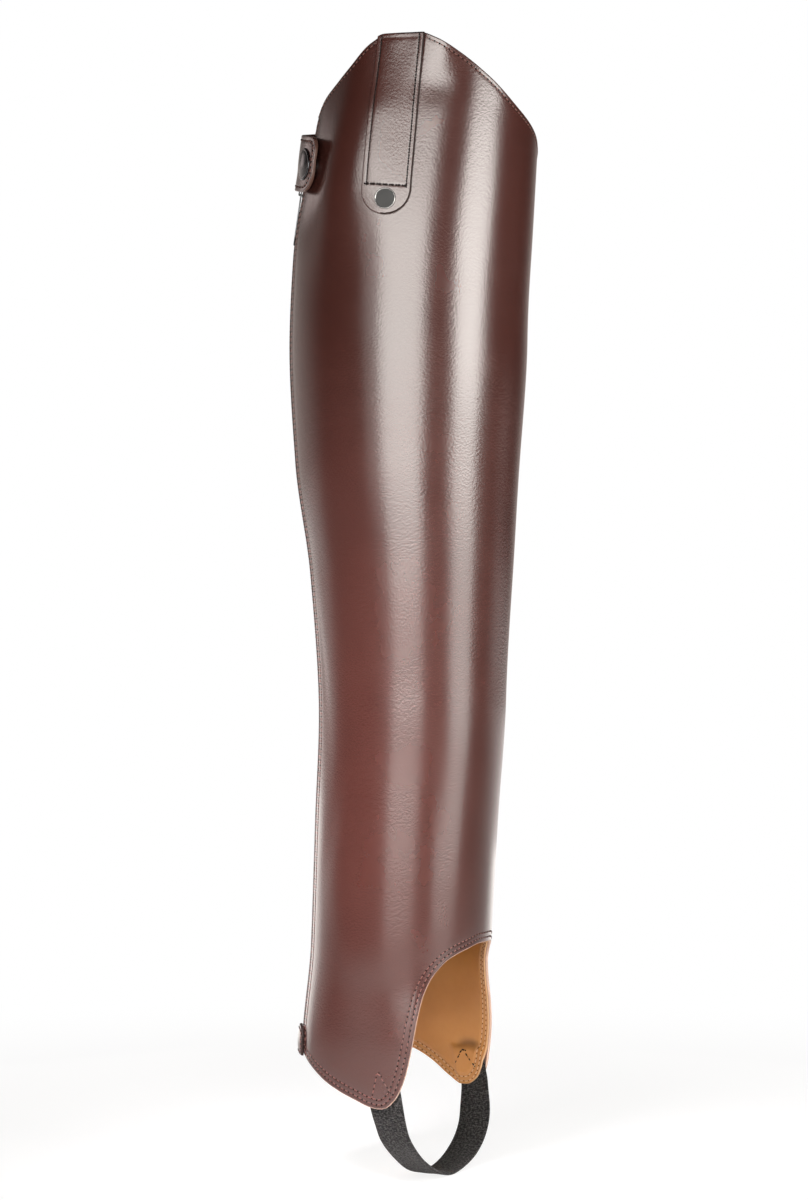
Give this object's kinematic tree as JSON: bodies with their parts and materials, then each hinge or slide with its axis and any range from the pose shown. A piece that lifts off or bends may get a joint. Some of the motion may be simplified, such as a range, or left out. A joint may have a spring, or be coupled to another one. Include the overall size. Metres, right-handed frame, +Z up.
{
  "type": "half chap",
  "caption": "Smooth leather half chap for a right lower leg, with a back zip under a snap tab, a high outer top, an arched front hem and an elastic strap under the foot.",
  "frame": {"origin": "on the leg's axis, inside the hollow, at the height of the calf's widest part", "axes": "+Z up the leg, -Y to the shin, -X to the outer side of a right leg"},
  "size_m": [0.1077, 0.1122, 0.4988],
  "materials": {
    "oxblood_leather": "smooth, polished, fine grain",
    "tan_leather": "soft, matt",
    "black_elastic": "ribbed knit",
    "dark_tape": "woven",
    "black_metal": "dark gunmetal, semi-gloss",
    "grey_metal": "satin grey"
  },
  "bodies": {
    "chap": {"leg_panel": "oxblood_leather", "lining": "tan_leather", "pull_strip": "oxblood_leather", "badge": "grey_metal", "snap_tab": "oxblood_leather", "snap_cap": "black_metal", "snap_post": "black_metal", "zip_tape_outer": "dark_tape", "zip_tape_inner": "dark_tape", "zip_chain": "black_metal", "zip_slider": "black_metal", "zip_stop_outer": "black_metal", "zip_stop_inner": "black_metal", "zip_guard": "oxblood_leather", "foot_strap": "black_elastic"},
    "zip_pull_tab": {"zip_pull": "black_metal"}
  },
  "joints": [
    {"name": "zip_pull_swing", "type": "hinge", "parent": "chap", "child": "zip_pull_tab", "pos_m": [-0.02773, 0.03904, 0.06958], "axis": [0.848, 0.5299, 0], "range_deg": [0, 70]}
  ]
}
